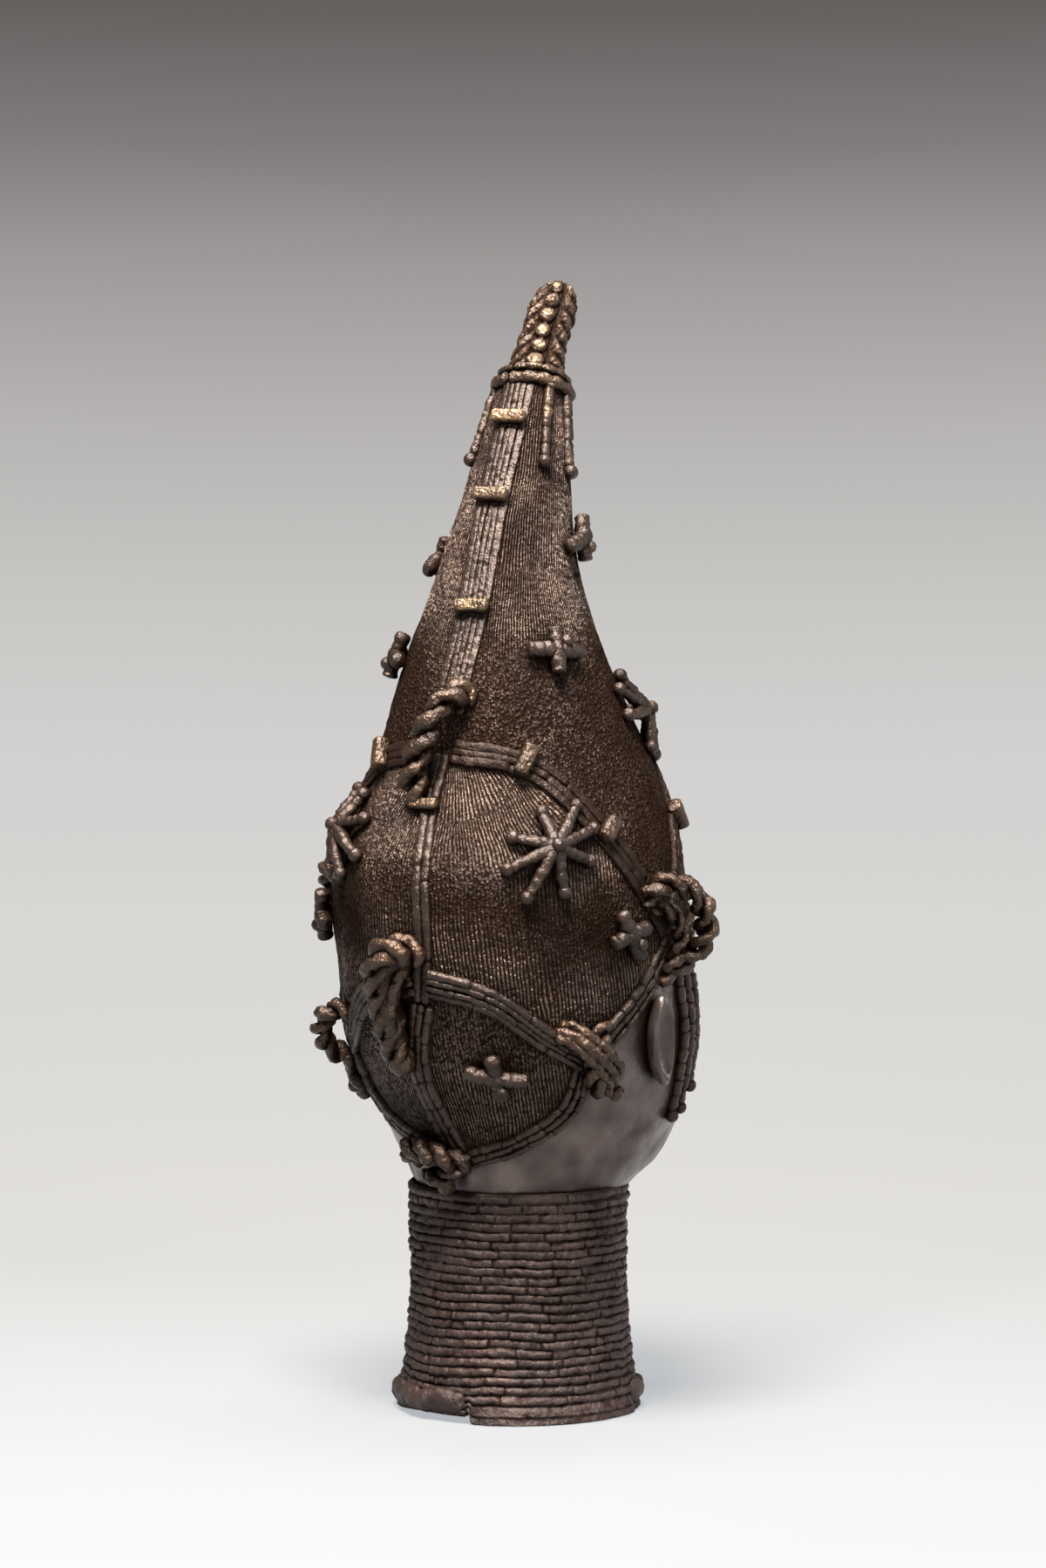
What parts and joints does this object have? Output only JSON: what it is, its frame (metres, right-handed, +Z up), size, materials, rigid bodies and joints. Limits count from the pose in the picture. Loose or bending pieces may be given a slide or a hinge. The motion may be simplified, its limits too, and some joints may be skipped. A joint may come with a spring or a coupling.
{
  "type": "cast bronze commemorative head",
  "caption": "Hollow cast bronze head with a tall forward-bent headdress in a net of bead bands, rope loops and crosses, on a ring collar neck.",
  "frame": {"origin": "centre of the bounding box on the surface it stands on", "axes": "+Z up along the neck, -Y the way the face looks, +X towards the head's own left"},
  "size_m": [0.2026, 0.2084, 0.5029],
  "materials": {
    "bronze": "dark brown patinated cast copper alloy, rubbed golden on bars, loops and horn"
  },
  "bodies": {
    "root": {"bronze_head": "bronze"}
  },
  "joints": []
}
